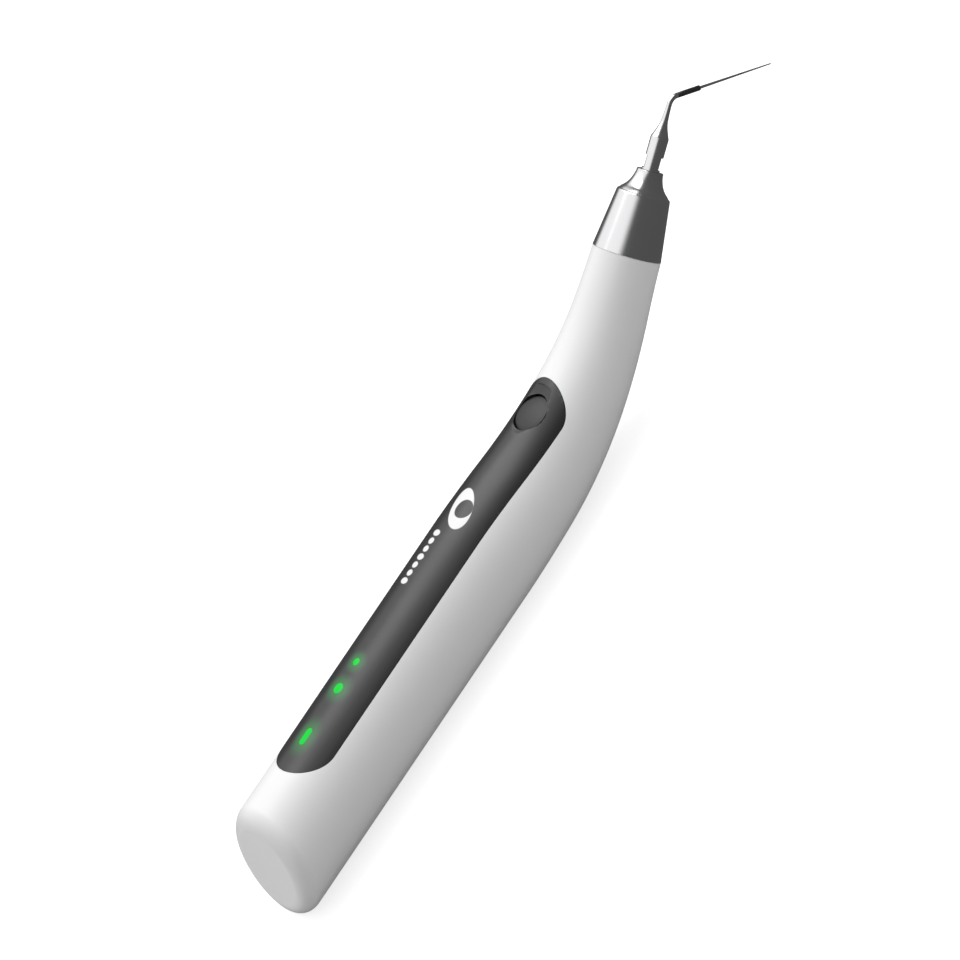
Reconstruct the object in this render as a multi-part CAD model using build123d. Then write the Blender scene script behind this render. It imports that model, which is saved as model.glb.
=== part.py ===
"""Cordless ultrasonic dental handpiece with a bent nose, a control panel and a screw-on file tip.

Frame: millimetres. The origin is on the barrel's axis, +X runs forward to the nose, +Z points out of the
control panel and +Y completes the set. The nose bends up towards +Z.
"""

import math
import os

from build123d import *

# ------------------------------------------------------------------ casing
BARREL_RADIUS = 12.1
REAR_REACH = 22.7
REAR_CUT_ANGLE = 23.9
REAR_FILLET = 3.0
REAR_WALL = 2.2
WALL = 1.6
BELLY_FLAT_DEPTH = 0.9
BELLY_WALL = 1.1
TAPER_START = 62.0
BEND_START = 77.0
BEND_RADIUS = 104.0
BEND_ANGLE = 23.5
NOSE_RUN = 12.0
NOSE_JOINT_RADIUS = 7.35
TAPER_STRAIGHT_SHARE = 0.35
TAPER_WARP = 1.15
TAPER_SECTIONS = 10
SKIN_SEARCH_STEPS = 12
TAPER_LEAD_IN = 4.0
HOLLOW_OVERRUN = 2.0

# ------------------------------------------------------------------ clearances shared by many joints
SNUG_GAP = 0.02
END_GAP = 0.2
TOUCH = 1e-4
ROOM_ABOVE = 5.0

# ------------------------------------------------------------------ control panel
PANEL_HALF_WIDTH = 7.9
PANEL_REAR_X = 8.6
BUTTON_X = 91.0
PANEL_THICKNESS = 0.9
PANEL_GAP = 0.08
PANEL_LEDGE = 0.65
GASKET_THICKNESS = 0.2
WINDOW_BAR_X = 9.2
WINDOW_BAR_LENGTH = 4.0
WINDOW_BAR_WIDTH = 1.6
WINDOW_LARGE_X = 21.2
WINDOW_LARGE_RADIUS = 1.2
WINDOW_SMALL_X = 27.8
WINDOW_SMALL_RADIUS = 0.85
THUMB_DISH_RADIUS = 20.0
THUMB_DISH_DEPTH = 0.9

# ------------------------------------------------------------------ button and switch
BUTTON_RADIUS = 4.2
BUTTON_GAP = 0.2
BUTTON_RECESS = 0.35
BUTTON_DOME_RADIUS = 16.0
BUTTON_FLANGE_RADIUS = 4.9
BUTTON_FLANGE_THICKNESS = 0.6
BUTTON_TRAVEL = 0.4
BUTTON_REST_GAP = 0.05
BOSS_WALL = 1.1
SEAL_THICKNESS = 0.3
SWITCH_SIZE = 4.5
SWITCH_BODY_HEIGHT = 1.1
SWITCH_PLUNGER_RADIUS = 1.0
SWITCH_PLUNGER_HEIGHT = 0.3

# ------------------------------------------------------------------ board
BOARD_LENGTH = 100.0
BOARD_REAR_X = -2.0
BOARD_WIDTH = 12.4
BOARD_FRONT_WIDTH = 9.6
BOARD_FRONT_LENGTH = 18.0
BOARD_THICKNESS = 0.8
BOARD_UNDERSIDE = 6.2
SCREW_RADIUS = 0.8
SCREW_HEAD_RADIUS = 1.5
SCREW_HEAD_HEIGHT = 0.8
SCREW_LENGTH = 4.0
SCREW_SPREAD = 4.0
LED_SIZE = 1.4
LED_HEIGHT = 0.7
CHIP_SIZE = 5.0
CHIP_HEIGHT = 0.9
CHIP_X = 46.0
TRANSISTOR_SIZE = (3.0, 3.0, 1.0)
TRANSISTOR_X = (64.0, 69.0)
TRANSFORMER_X = 70.0
TRANSFORMER_RADIUS = 4.6
TRANSFORMER_HEIGHT = 7.0
TRANSFORMER_WAIST = 2.6
TRANSFORMER_FLANGE = 1.2
WINDING_RADIUS = 4.1

# ------------------------------------------------------------------ battery and tray
CELL_RADIUS = 7.1
CELL_LENGTH = 50.0
CELL_REAR_X = 5.0
CELL_AXIS_DROP = 1.9
CELL_NUB_RADIUS = 2.8
CELL_NUB_HEIGHT = 1.0
CELL_FIT = 0.15
CONTACT_PLATE = 0.4
CONTACT_ROOM = 2.0
CONTACT_HALF_WIDTH = 4.0
CONTACT_DIMPLE_RADIUS = 1.6
TRAY_FIT = 0.1
TRAY_CRADLE_WALL = 0.8
TRAY_CRADLE_TOP = 1.0
TRAY_BULKHEAD = 3.4
LEAD_PORT_HALF_WIDTH = 2.2
LEAD_PORT_HEIGHT = 4.0
BRIDGE_REAR_X = 85.0
BRIDGE_LENGTH = 8.0
BRIDGE_WALL = 1.3
BRIDGE_DECK = 1.2

# ------------------------------------------------------------------ charging contacts
CHARGE_PIN_X = (-10.0, -3.0)
CHARGE_PIN_RADIUS = 1.5
CHARGE_PIN_RECESS = 0.15
CHARGE_PIN_LENGTH = 3.8
CHARGE_PIN_FIT = 0.05
CHARGE_PIN_COLLAR = 0.5
CHARGE_PIN_COLLAR_HEIGHT = 0.8
CHARGE_BLOCK_WIDTH = 7.0
CHARGE_BLOCK_MARGIN = 2.2
CHARGE_BLOCK_TOP = -8.2
CHARGE_BOARD_THICKNESS = 0.8

# ------------------------------------------------------------------ nose cone, on the nose axis
CONE_LENGTH = 13.1
CONE_SHOULDER_RADIUS = 5.65
CONE_SHOULDER_FILLET = 0.5
CONE_FLARE_LENGTH = 4.3
FLARE_BOW = 0.36
CONE_RIM_RADIUS = 2.85
CONE_RIM_LENGTH = 0.5
CONE_BORE_RADIUS = 2.4
CONE_WALL = 1.1
CONE_SEAL_ROOM = 1.0
THREAD_RADIUS = 5.4
THREAD_LENGTH = 6.0
THREAD_FIT = 0.05
COLLAR_BORE_RADIUS = 4.75
COLLAR_SHOULDER_RADIUS = 4.1
COLLAR_DEPTH = 12.2
COLLAR_FIT = 0.02
ORING_SECTION = 0.45

# ------------------------------------------------------------------ transducer, on the nose axis
HORN_REAR = -15.0
HORN_RADIUS = 4.4
HORN_NECK_START = -12.0
HORN_NECK_RADIUS = 3.95
HORN_CONE_START = 1.0
HORN_CONE_END = 9.0
HORN_STEM_RADIUS = 1.95
HORN_SEAT = 17.3
HORN_FLANGE_RADIUS = 4.65
HORN_FLANGE_REAR = -9.0
HORN_FLANGE_LENGTH = 1.6
MOUNT_RING_LENGTH = 1.2
MOUNT_RING_GAP = 0.02
LOCK_RING_LENGTH = 2.0
SOCKET_RADIUS = 1.5
SOCKET_DEPTH = 9.0
RING_RADIUS = 4.4
RING_BORE_RADIUS = 2.1
RING_THICKNESS = 2.2
RING_COUNT = 4
ELECTRODE_THICKNESS = 0.2
ELECTRODE_TAB_WIDTH = 1.6
ELECTRODE_TAB_REACH = 1.3
SLEEVE_WALL = 0.4
BACK_MASS_LENGTH = 8.0
BOLT_RADIUS = 1.5
BOLT_HEAD_RADIUS = 2.7
BOLT_HEAD_LENGTH = 2.0
BOLT_SOCKET_FLATS = 2.5
BOLT_SOCKET_DEPTH = 1.4
STEM_SEAL_GAP = 0.02
STEM_SEAL_LENGTH = 1.4

# ------------------------------------------------------------------ tip, on the nose axis
STUD_RADIUS = 1.0
STUD_LENGTH = 3.9
TIP_THREAD_FIT = 0.05
TIP_SEAT_GAP = 0.05
TIP_SHANK_RADIUS = 1.93
TIP_SHANK_LENGTH = 7.8
FLATS_START = 0.95
FLATS_END = 3.65
FLATS_TURN = 52.8
WRENCH_FLATS = 3.0
TIP_TAPER_LENGTH = 3.4
TIP_TAPER_END_RADIUS = 0.75
TIP_NECK_RADIUS = 0.56
TIP_NECK_LENGTH = 3.6
TIP_BEND_RADIUS = 2.4
TIP_BEND_ANGLE = 64.2
TIP_SPIGOT_LENGTH = 0.8
FERRULE_RADIUS = 0.58
FERRULE_BORE_RADIUS = 0.36
FERRULE_LENGTH = 5.8
FILE_ROOT_RADIUS = 0.31
FILE_END_RADIUS = 0.135
FILE_LENGTH = 18.5
FILE_SEAT = 4.8
SEAL_RING_RADIUS = 0.17
SEAL_RING_SETBACK = 0.35
TIP_SEAL_FIT = 0.02

# ------------------------------------------------------------------ leads
LEAD_RADIUS = 0.45
LEAD_ARC_SHARE = 0.45
LEAD_CLEARANCE = 0.7
LEAD_RISE = 3.5
CHARGE_LEAD_SPREAD = 2.2
DRIVE_LEAD_SPREAD = 4.0
DRIVE_LEAD_SETBACK = 2.5
DRIVE_LEAD_TURN = 1.0

# ------------------------------------------------------------------ derived places
BEND_ARC = BEND_RADIUS * math.radians(BEND_ANGLE)
JOINT_STATION = BEND_START + BEND_ARC + NOSE_RUN
BOARD_TOP = BOARD_UNDERSIDE + BOARD_THICKNESS
INNER_RADIUS = BARREL_RADIUS - WALL
CELL_AXIS_Z = -CELL_AXIS_DROP
FLAT_Z = BELLY_FLAT_DEPTH - BARREL_RADIUS
INNER_FLAT_Z = FLAT_Z + BELLY_WALL
CELL_FRONT_X = CELL_REAR_X + CELL_LENGTH


def centre_frame(station):
    """The plane square to the casing's centreline at a distance along it, with its Z forward."""
    if station <= BEND_START:
        return Plane(origin=(station, 0, 0), x_dir=(0, 0, 1), z_dir=(1, 0, 0))
    turned = min(station - BEND_START, BEND_ARC) / BEND_RADIUS
    past = max(station - BEND_START - BEND_ARC, 0)
    x = BEND_START + BEND_RADIUS * math.sin(turned) + past * math.cos(turned)
    z = BEND_RADIUS * (1 - math.cos(turned)) + past * math.sin(turned)
    up = (-math.sin(turned), 0, math.cos(turned))
    ahead = (math.cos(turned), 0, math.sin(turned))
    return Plane(origin=(x, 0, z), x_dir=up, z_dir=ahead)


def casing_radius(station):
    """The casing's outer radius: straight barrel, then a taper that starts and ends gently."""
    share = (station - TAPER_START) / (JOINT_STATION - TAPER_START)
    warped = min(max(share, 0), 1) ** TAPER_WARP
    smooth = 3 * warped**2 - 2 * warped**3
    drop = TAPER_STRAIGHT_SHARE * warped + (1 - TAPER_STRAIGHT_SHARE) * smooth
    return BARREL_RADIUS - (BARREL_RADIUS - NOSE_JOINT_RADIUS) * drop


def rear_plane(inset):
    """The oblique rear face, moved into the casing by inset; its Z points out of the casing."""
    tilt = math.radians(REAR_CUT_ANGLE)
    outward = Vector(-math.cos(tilt), 0, math.sin(tilt))
    corner = Vector(-REAR_REACH, 0, -BARREL_RADIUS)
    return Plane(origin=corner - outward * inset, x_dir=(0, 1, 0), z_dir=outward)


def lies_on(edge, plane):
    """Whether the whole of an edge lies on a plane."""
    ends_and_middle = (edge @ 0, edge @ 0.5, edge @ 1)
    return all(abs(plane.to_local_coords(point).Z) < TOUCH for point in ends_and_middle)


def casing_volume(inset, rear_inset, overrun=0.0):
    """The closed volume inside the casing's outer skin, drawn in by inset and cut at the oblique rear."""
    start = TAPER_START - TAPER_LEAD_IN
    barrel = centre_frame(-REAR_REACH) * extrude(Circle(BARREL_RADIUS - inset), start + REAR_REACH)
    span = JOINT_STATION - TAPER_START
    stations = [start] + [TAPER_START + span * i / TAPER_SECTIONS for i in range(TAPER_SECTIONS + 1)]
    if overrun:
        stations.append(JOINT_STATION + overrun)
    nose = loft([centre_frame(s) * Circle(casing_radius(s) - inset) for s in stations])
    plane = rear_plane(rear_inset)
    volume = split(barrel + nose, bisect_by=plane, keep=Keep.BOTTOM)
    rounding = REAR_FILLET - min(inset, REAR_FILLET / 2)
    rim = [edge for edge in volume.edges() if lies_on(edge, plane)]
    return fillet(rim, rounding)


def capsule(half_width, bottom, top):
    """An upright block with the control panel's capsule outline."""
    middle = (PANEL_REAR_X + BUTTON_X) / 2
    outline = SlotCenterToCenter(BUTTON_X - PANEL_REAR_X, 2 * half_width)
    return Pos(middle, 0, bottom) * extrude(outline, top - bottom)


def upright(x, radius, bottom, top, y=0.0):
    """An upright cylinder between two heights."""
    return Pos(x, y, bottom) * extrude(Circle(radius), top - bottom)


def block(x_low, x_high, y_low, y_high, z_low, z_high):
    """A block between two corners."""
    size = Box(x_high - x_low, y_high - y_low, z_high - z_low)
    return Pos((x_low + x_high) / 2, (y_low + y_high) / 2, (z_low + z_high) / 2) * size


def lathe(points, frame):
    """A solid turned about the frame's Z axis from (radius, height) points."""
    outline = Polyline([(radius, 0, height) for radius, height in points], close=True)
    return frame.location * revolve(make_face(outline), Axis.Z, 360)


def rod(radius, start, end, frame, bore=0.0):
    """A round bar, or a tube where it has a bore, along the frame's Z axis."""
    bar = Pos(0, 0, start) * extrude(Circle(radius), end - start)
    if bore:
        bar -= Pos(0, 0, start) * extrude(Circle(bore), end - start)
    return frame.location * bar


def skin_top(x):
    """The height of the casing's top line at x."""
    station = x
    for _ in range(SKIN_SEARCH_STEPS):
        frame = centre_frame(station)
        point = frame.origin + frame.x_dir * casing_radius(station)
        station += x - point.X
    return point.Z


def window_prism(x, length, width, clearance, foot):
    """An upright light pipe's envelope: round, or a rounded bar where it has a length."""
    grown = width + 2 * clearance
    outline = SlotOverall(length + 2 * clearance, grown) if length else Circle(grown / 2)
    return Pos(x, 0, foot) * extrude(outline, TOP - foot)


def lead(points):
    """An insulated wire along straight runs joined by arcs as large as the runs allow."""
    corners = [Vector(p) for p in points]
    radii = []
    for before, corner, after in zip(corners, corners[1:], corners[2:]):
        into, out = corner - before, after - corner
        turned = math.radians(into.get_angle(out))
        radii.append(LEAD_ARC_SHARE * min(into.length, out.length) / math.tan(turned / 2))
    path = FilletPolyline(*corners, radius=radii)
    section = Plane(origin=path @ 0, z_dir=path % 0) * Circle(LEAD_RADIUS)
    return sweep(section, path=path)


NOSE = centre_frame(JOINT_STATION)
TOP = BARREL_RADIUS + ROOM_ABOVE
parts = {}

# ------------------------------------------------------------------ casing, panel, gasket
skin = casing_volume(0, 0)
hollow = casing_volume(WALL, REAR_WALL, overrun=HOLLOW_OVERRUN)
under_panel = casing_volume(PANEL_THICKNESS, REAR_WALL)
under_gasket = casing_volume(PANEL_THICKNESS + GASKET_THICKNESS, REAR_WALL)
belly = block(-REAR_REACH, JOINT_STATION, -BARREL_RADIUS, BARREL_RADIUS, -TOP, FLAT_Z)
inner_belly = block(-REAR_REACH, JOINT_STATION, -BARREL_RADIUS, BARREL_RADIUS, -TOP, INNER_FLAT_Z)
housing = skin - belly - (hollow - inner_belly)
housing -= capsule(PANEL_HALF_WIDTH, 0, TOP) - under_gasket
housing -= capsule(PANEL_HALF_WIDTH - PANEL_LEDGE, 0, TOP)
for x in CHARGE_PIN_X:
    housing -= upright(x, CHARGE_PIN_RADIUS + CHARGE_PIN_FIT, -TOP, INNER_FLAT_Z + END_GAP)
parts["housing_shell"] = housing

panel_block = capsule(PANEL_HALF_WIDTH - PANEL_GAP, 0, TOP)
button_top = skin_top(BUTTON_X) - BUTTON_RECESS
switch_top = BOARD_TOP + SWITCH_BODY_HEIGHT + SWITCH_PLUNGER_HEIGHT
seal_top = switch_top + SNUG_GAP + SEAL_THICKNESS
button_foot = seal_top + BUTTON_TRAVEL + BUTTON_REST_GAP
flange_top = button_foot + BUTTON_FLANGE_THICKNESS
boss_bore = BUTTON_FLANGE_RADIUS + BUTTON_GAP
boss_radius = boss_bore + BOSS_WALL

panel = (panel_block & skin) - (under_panel - upright(BUTTON_X, boss_radius, seal_top, TOP))
panel -= upright(BUTTON_X, boss_bore, 0, flange_top + BUTTON_REST_GAP)
panel -= upright(BUTTON_X, BUTTON_RADIUS + BUTTON_GAP, 0, TOP)
dish_centre = skin_top(BUTTON_X) - THUMB_DISH_DEPTH + THUMB_DISH_RADIUS
thumb_dish = Pos(BUTTON_X, 0, dish_centre) * Sphere(THUMB_DISH_RADIUS)
panel -= thumb_dish & upright(BUTTON_X, boss_radius, BOARD_TOP, TOP)

window_foot = BOARD_TOP + LED_HEIGHT + BUTTON_REST_GAP
windows = {
    "led_window_bar": (WINDOW_BAR_X, WINDOW_BAR_LENGTH, WINDOW_BAR_WIDTH),
    "led_window_large": (WINDOW_LARGE_X, 0, 2 * WINDOW_LARGE_RADIUS),
    "led_window_small": (WINDOW_SMALL_X, 0, 2 * WINDOW_SMALL_RADIUS),
}
for name, (x, length, width) in windows.items():
    panel -= window_prism(x, length, width, SNUG_GAP, 0)
    parts[name] = window_prism(x, length, width, 0, window_foot) & skin
parts["top_panel"] = panel
parts["panel_gasket"] = (panel_block - capsule(PANEL_HALF_WIDTH - PANEL_LEDGE, 0, TOP)) & (
    under_panel - under_gasket
)

# ------------------------------------------------------------------ button, seal and switch
dome = Pos(BUTTON_X, 0, button_top - BUTTON_DOME_RADIUS) * Sphere(BUTTON_DOME_RADIUS)
cap = upright(BUTTON_X, BUTTON_RADIUS, flange_top, TOP) & dome
flange = upright(BUTTON_X, BUTTON_FLANGE_RADIUS, button_foot, flange_top)
parts["power_button"] = cap + flange
seal_radius = boss_bore + BOSS_WALL / 2
parts["button_seal"] = upright(BUTTON_X, seal_radius, seal_top - SEAL_THICKNESS, seal_top)
half = SWITCH_SIZE / 2
body_top = BOARD_TOP + SWITCH_BODY_HEIGHT
switch = block(BUTTON_X - half, BUTTON_X + half, -half, half, BOARD_TOP, body_top)
parts["tactile_switch"] = switch + upright(BUTTON_X, SWITCH_PLUNGER_RADIUS, body_top, switch_top)

# ------------------------------------------------------------------ board and what is soldered to it
board_front_x = BOARD_REAR_X + BOARD_LENGTH
step_x = board_front_x - BOARD_FRONT_LENGTH
board = block(BOARD_REAR_X, step_x, -BOARD_WIDTH / 2, BOARD_WIDTH / 2, BOARD_UNDERSIDE, BOARD_TOP)
half = BOARD_FRONT_WIDTH / 2
board += block(step_x, board_front_x, -half, half, BOARD_UNDERSIDE, BOARD_TOP)
tray_rear_x = CELL_REAR_X - CONTACT_ROOM - TRAY_BULKHEAD
tray_front_x = CELL_FRONT_X + CONTACT_ROOM
screw_places = [
    (x + TRAY_BULKHEAD / 2, side * SCREW_SPREAD) for x in (tray_rear_x, tray_front_x) for side in (-1, 1)
]
for x, y in screw_places:
    board -= upright(x, SCREW_RADIUS + SNUG_GAP, BOARD_UNDERSIDE, BOARD_TOP, y)
parts["main_board"] = board
parts["board_screws"] = Compound([
    upright(x, SCREW_HEAD_RADIUS, BOARD_TOP, BOARD_TOP + SCREW_HEAD_HEIGHT, y)
    + upright(x, SCREW_RADIUS, BOARD_TOP - SCREW_LENGTH, BOARD_TOP, y)
    for x, y in screw_places
])
parts["status_leds"] = Compound([
    block(x - LED_SIZE / 2, x + LED_SIZE / 2, -LED_SIZE / 2, LED_SIZE / 2, BOARD_TOP, BOARD_TOP + LED_HEIGHT)
    for x in (WINDOW_BAR_X, WINDOW_LARGE_X, WINDOW_SMALL_X)
])
half = CHIP_SIZE / 2
chip_top = BOARD_TOP + CHIP_HEIGHT
parts["controller_chip"] = block(CHIP_X - half, CHIP_X + half, -half, half, BOARD_TOP, chip_top)
size_x, size_y, size_z = TRANSISTOR_SIZE
parts["drive_transistors"] = Compound([
    block(x - size_x / 2, x + size_x / 2, -size_y / 2, size_y / 2, BOARD_TOP, BOARD_TOP + size_z)
    for x in TRANSISTOR_X
])
transformer_foot = BOARD_UNDERSIDE - TRANSFORMER_HEIGHT
under_board = Plane(origin=(TRANSFORMER_X, 0, transformer_foot))
waist_top = TRANSFORMER_HEIGHT - TRANSFORMER_FLANGE
parts["transformer_core"] = (
    rod(TRANSFORMER_RADIUS, 0, TRANSFORMER_FLANGE, under_board)
    + rod(TRANSFORMER_WAIST, 0, TRANSFORMER_HEIGHT, under_board)
    + rod(TRANSFORMER_RADIUS, waist_top, TRANSFORMER_HEIGHT, under_board)
)
parts["transformer_winding"] = rod(
    WINDING_RADIUS, TRANSFORMER_FLANGE, waist_top, under_board, bore=TRANSFORMER_WAIST
)

# ------------------------------------------------------------------ cell, tray and contacts
cell_frame = Plane(origin=(0, 0, CELL_AXIS_Z), x_dir=(0, 0, 1), z_dir=(1, 0, 0))
can_end = CELL_FRONT_X - CELL_NUB_HEIGHT
parts["battery_cell"] = rod(CELL_RADIUS, CELL_REAR_X, can_end, cell_frame) + rod(
    CELL_NUB_RADIUS, can_end, CELL_FRONT_X, cell_frame
)
cradle_bore = CELL_RADIUS + CELL_FIT
tray_inside = (tray_rear_x + TRAY_BULKHEAD, tray_front_x)
tray = rod(cradle_bore + TRAY_CRADLE_WALL, *tray_inside, cell_frame, bore=cradle_bore)
tray -= block(*tray_inside, -TOP, TOP, TRAY_CRADLE_TOP, TOP)
barrel_frame = Plane(origin=(0, 0, 0), x_dir=(0, 0, 1), z_dir=(1, 0, 0))
for x in (tray_rear_x, tray_front_x):
    bulkhead = rod(INNER_RADIUS - TRAY_FIT, x, x + TRAY_BULKHEAD, barrel_frame)
    bulkhead -= block(x, x + TRAY_BULKHEAD, -TOP, TOP, BOARD_UNDERSIDE, TOP)
    bulkhead -= block(x, x + TRAY_BULKHEAD, -TOP, TOP, -TOP, INNER_FLAT_Z + TRAY_FIT)
    port_low = CELL_AXIS_Z - LEAD_PORT_HEIGHT / 2
    port_high = CELL_AXIS_Z + LEAD_PORT_HEIGHT / 2
    bulkhead -= block(x, x + TRAY_BULKHEAD, -LEAD_PORT_HALF_WIDTH, LEAD_PORT_HALF_WIDTH, port_low, port_high)
    tray += bulkhead
for x, y in screw_places:
    tray -= upright(x, SCREW_RADIUS + SNUG_GAP, BOARD_TOP - SCREW_LENGTH - END_GAP, BOARD_TOP, y)
parts["battery_tray"] = tray

for name, wall_x, cell_x in (
    ("battery_contact_rear", tray_inside[0], CELL_REAR_X),
    ("battery_contact_front", tray_inside[1], CELL_FRONT_X),
):
    inward = 1 if cell_x > wall_x else -1
    face = wall_x + inward * CONTACT_PLATE
    low, high = min(wall_x, face), max(wall_x, face)
    plate = block(
        low, high, -CONTACT_HALF_WIDTH, CONTACT_HALF_WIDTH,
        CELL_AXIS_Z - CONTACT_HALF_WIDTH, CELL_AXIS_Z + CONTACT_HALF_WIDTH,
    )
    bump = Plane(origin=(face, 0, CELL_AXIS_Z), x_dir=(0, 0, 1), z_dir=(inward, 0, 0))
    reach = abs(cell_x - face)
    parts[name] = plate + lathe(
        [(0, 0), (CONTACT_DIMPLE_RADIUS, 0), (CONTACT_DIMPLE_RADIUS / 2, reach), (0, reach)], bump
    )

bridge = casing_volume(WALL + TRAY_FIT, REAR_WALL) & block(
    BRIDGE_REAR_X, BRIDGE_REAR_X + BRIDGE_LENGTH, -TOP, TOP, -TOP, BOARD_UNDERSIDE
)
bridge -= casing_volume(WALL + TRAY_FIT + BRIDGE_WALL, REAR_WALL) & block(
    BRIDGE_REAR_X, BRIDGE_REAR_X + BRIDGE_LENGTH, -TOP, TOP, -TOP, BOARD_UNDERSIDE - BRIDGE_DECK
)
parts["board_bridge"] = bridge

# ------------------------------------------------------------------ charging contacts on the belly
pin_foot = FLAT_Z + CHARGE_PIN_RECESS
pin_top = pin_foot + CHARGE_PIN_LENGTH
pin_collar_radius = CHARGE_PIN_RADIUS + CHARGE_PIN_COLLAR
pin_seat = INNER_FLAT_Z + SNUG_GAP
pin_collar_top = pin_seat + CHARGE_PIN_COLLAR_HEIGHT
parts["charge_pins"] = Compound([
    upright(x, CHARGE_PIN_RADIUS, pin_foot, pin_top)
    + upright(x, pin_collar_radius, pin_seat, pin_collar_top)
    for x in CHARGE_PIN_X
])
block_rear = min(CHARGE_PIN_X) - CHARGE_PIN_RADIUS - CHARGE_BLOCK_MARGIN
block_front = max(CHARGE_PIN_X) + pin_collar_radius + END_GAP
holder = block(
    block_rear, block_front, -CHARGE_BLOCK_WIDTH / 2, CHARGE_BLOCK_WIDTH / 2, pin_seat, CHARGE_BLOCK_TOP
) & casing_volume(WALL + SNUG_GAP, REAR_WALL + SNUG_GAP)
for x in CHARGE_PIN_X:
    holder -= upright(x, CHARGE_PIN_RADIUS + SNUG_GAP, -TOP, 0)
    holder -= upright(x, pin_collar_radius + SNUG_GAP, -TOP, pin_collar_top + SNUG_GAP)
parts["charge_pin_block"] = holder
charge_board = block(
    block_rear, block_front, -CHARGE_BLOCK_WIDTH / 2, CHARGE_BLOCK_WIDTH / 2,
    CHARGE_BLOCK_TOP, CHARGE_BLOCK_TOP + CHARGE_BOARD_THICKNESS,
)
for x in CHARGE_PIN_X:
    charge_board -= upright(x, CHARGE_PIN_RADIUS + SNUG_GAP, -TOP, 0)
parts["charge_board"] = charge_board

# ------------------------------------------------------------------ collar and nose cone
collar_radius = NOSE_JOINT_RADIUS - WALL - COLLAR_FIT
mount_front = HORN_FLANGE_REAR + HORN_FLANGE_LENGTH + MOUNT_RING_GAP
shoulder_at = mount_front + MOUNT_RING_LENGTH + MOUNT_RING_GAP
oring_at = THREAD_LENGTH - 3 * ORING_SECTION
oring_centre = THREAD_RADIUS + THREAD_FIT - ORING_SECTION
collar = lathe(
    [
        (COLLAR_BORE_RADIUS, -COLLAR_DEPTH),
        (collar_radius, -COLLAR_DEPTH),
        (collar_radius, 0),
        (THREAD_RADIUS, 0),
        (THREAD_RADIUS, THREAD_LENGTH),
        (COLLAR_SHOULDER_RADIUS, THREAD_LENGTH),
        (COLLAR_SHOULDER_RADIUS, shoulder_at),
        (COLLAR_BORE_RADIUS, shoulder_at),
    ],
    NOSE,
)
groove = ORING_SECTION + SNUG_GAP
collar -= rod(
    THREAD_RADIUS + THREAD_FIT, oring_at - groove, oring_at + groove, NOSE, bore=oring_centre - groove
)
parts["front_collar"] = collar
parts["nose_o_ring"] = NOSE.offset(oring_at).location * Torus(oring_centre, ORING_SECTION)

rim_base = CONE_LENGTH + CONE_FLARE_LENGTH
rim_at = rim_base + CONE_RIM_LENGTH
flare_middle = (
    CONE_RIM_RADIUS + FLARE_BOW * (CONE_SHOULDER_RADIUS - CONE_RIM_RADIUS),
    0,
    CONE_LENGTH + FLARE_BOW * CONE_FLARE_LENGTH,
)
shoulder = (CONE_SHOULDER_RADIUS, 0, CONE_LENGTH)
throat = rim_at - STEM_SEAL_LENGTH - CONE_SEAL_ROOM
wall_end = CONE_SHOULDER_RADIUS - CONE_WALL
cone_outline = (
    Polyline((NOSE_JOINT_RADIUS, 0, 0), shoulder)
    + ThreePointArc(shoulder, flare_middle, (CONE_RIM_RADIUS, 0, rim_base))
    + Polyline(
        (CONE_RIM_RADIUS, 0, rim_base),
        (CONE_RIM_RADIUS, 0, rim_at),
        (CONE_BORE_RADIUS, 0, rim_at),
        (CONE_BORE_RADIUS, 0, throat),
        (wall_end - CONE_WALL / 2, 0, CONE_LENGTH - CONE_WALL),
        (wall_end, 0, THREAD_LENGTH + 2 * THREAD_FIT),
        (THREAD_RADIUS + THREAD_FIT, 0, THREAD_LENGTH + 2 * THREAD_FIT),
        (THREAD_RADIUS + THREAD_FIT, 0, 0),
        (NOSE_JOINT_RADIUS, 0, 0),
    )
)
cone = revolve(make_face(cone_outline), Axis.Z, 360)
shoulder_edge = [
    edge for edge in cone.edges().filter_by(GeomType.CIRCLE)
    if abs(edge.center().Z - CONE_LENGTH) < TOUCH and abs(edge.radius - CONE_SHOULDER_RADIUS) < TOUCH
]
parts["nose_cone"] = NOSE.location * fillet(shoulder_edge, CONE_SHOULDER_FILLET)
seal_front = HORN_SEAT - STEM_SEAL_GAP
parts["stem_seal"] = rod(
    CONE_BORE_RADIUS - STEM_SEAL_GAP, seal_front - STEM_SEAL_LENGTH, seal_front, NOSE,
    bore=HORN_STEM_RADIUS + STEM_SEAL_GAP,
)

# ------------------------------------------------------------------ transducer
flange_front = HORN_FLANGE_REAR + HORN_FLANGE_LENGTH
stud_end = HORN_SEAT + STUD_LENGTH
parts["horn"] = lathe(
    [
        (SOCKET_RADIUS, HORN_REAR),
        (HORN_RADIUS, HORN_REAR),
        (HORN_RADIUS, HORN_NECK_START - HORN_RADIUS + HORN_NECK_RADIUS),
        (HORN_NECK_RADIUS, HORN_NECK_START),
        (HORN_NECK_RADIUS, HORN_FLANGE_REAR),
        (HORN_FLANGE_RADIUS, HORN_FLANGE_REAR),
        (HORN_FLANGE_RADIUS, flange_front),
        (HORN_NECK_RADIUS, flange_front),
        (HORN_NECK_RADIUS, HORN_CONE_START),
        (HORN_STEM_RADIUS, HORN_CONE_END),
        (HORN_STEM_RADIUS, HORN_SEAT),
        (STUD_RADIUS, HORN_SEAT),
        (STUD_RADIUS, stud_end),
        (0, stud_end),
        (0, HORN_REAR + SOCKET_DEPTH),
        (SOCKET_RADIUS, HORN_REAR + SOCKET_DEPTH),
    ],
    NOSE,
)
ring_inner = HORN_NECK_RADIUS + MOUNT_RING_GAP
ring_outer = COLLAR_BORE_RADIUS - MOUNT_RING_GAP
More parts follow.
